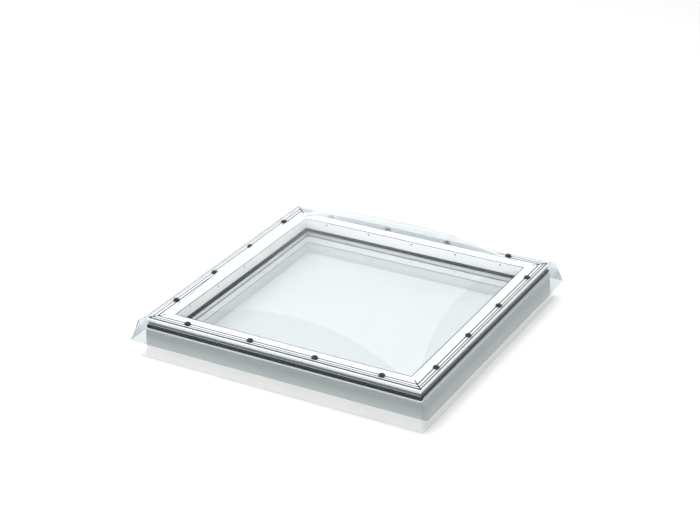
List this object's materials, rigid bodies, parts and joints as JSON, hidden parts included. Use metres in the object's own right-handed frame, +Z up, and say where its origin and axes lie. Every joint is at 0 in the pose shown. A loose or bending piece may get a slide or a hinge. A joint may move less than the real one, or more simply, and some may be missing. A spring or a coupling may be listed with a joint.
{
  "type": "roof skylight",
  "caption": "Square flat-roof skylight: hollow white base frame, mitred glazed sash, double glazing and a clear domed cover with a skirt, screwed down under black caps.",
  "frame": {"origin": "middle of the base frame's flat underside", "axes": "+Z up, out of the roof; +X and +Y square to the sides; the front side is -Y and the right side is +X"},
  "size_m": [1.254, 1.254, 0.3586],
  "materials": {
    "frame_plastic": "satin white extruded PVC",
    "sash_plastic": "satin white extruded PVC",
    "bead_plastic": "satin white extruded PVC",
    "foam_core": "bead-textured expanded foam",
    "zinc_steel": "zinc plated",
    "key_metal": "die cast",
    "black_rubber": "matt extruded EPDM",
    "grey_rubber": "matt extruded thermoplastic rubber",
    "gasket_rubber": "matt extruded EPDM",
    "dark_steel": "dark zinc plated",
    "block_plastic": "moulded polypropylene",
    "window_glass": "float glass",
    "spacer_metal": "roll formed",
    "edge_sealant": "trowelled sealant",
    "clear_acrylic": "clear thermoformed sheet",
    "cap_plastic": "black moulded plastic"
  },
  "bodies": {
    "root": {"frame_shell": "frame_plastic", "frame_seal": "black_rubber", "drip_seal": "grey_rubber", "rebate_seal": "grey_rubber", "frame_core_front": "foam_core", "frame_core_right": "foam_core", "frame_core_back": "foam_core", "frame_core_left": "foam_core", "sash_front": "sash_plastic", "sash_right": "sash_plastic", "sash_back": "sash_plastic", "sash_left": "sash_plastic", "stiffener_front": "zinc_steel", "stiffener_right": "zinc_steel", "stiffener_back": "zinc_steel", "stiffener_left": "zinc_steel", "bead_front": "bead_plastic", "bead_right": "bead_plastic", "bead_back": "bead_plastic", "bead_left": "bead_plastic", "corner_key_front_left": "key_metal", "corner_key_front_right": "key_metal", "corner_key_back_right": "key_metal", "corner_key_back_left": "key_metal", "corner_seal_front_left": "black_rubber", "corner_seal_front_right": "black_rubber", "corner_seal_back_right": "black_rubber", "corner_seal_back_left": "black_rubber", "edge_trim": "gasket_rubber", "bead_screws": "dark_steel", "sash_screws": "zinc_steel", "setting_blocks": "block_plastic", "glazing_tape": "black_rubber", "inner_pane": "window_glass", "outer_pane": "window_glass", "spacer_bar": "spacer_metal", "edge_sealant": "edge_sealant", "glazing_gasket": "gasket_rubber", "dome_cover": "clear_acrylic", "dome_seal": "black_rubber", "dome_screws": "zinc_steel", "sealing_washers": "black_rubber", "screw_caps": "cap_plastic"}
  },
  "joints": []
}
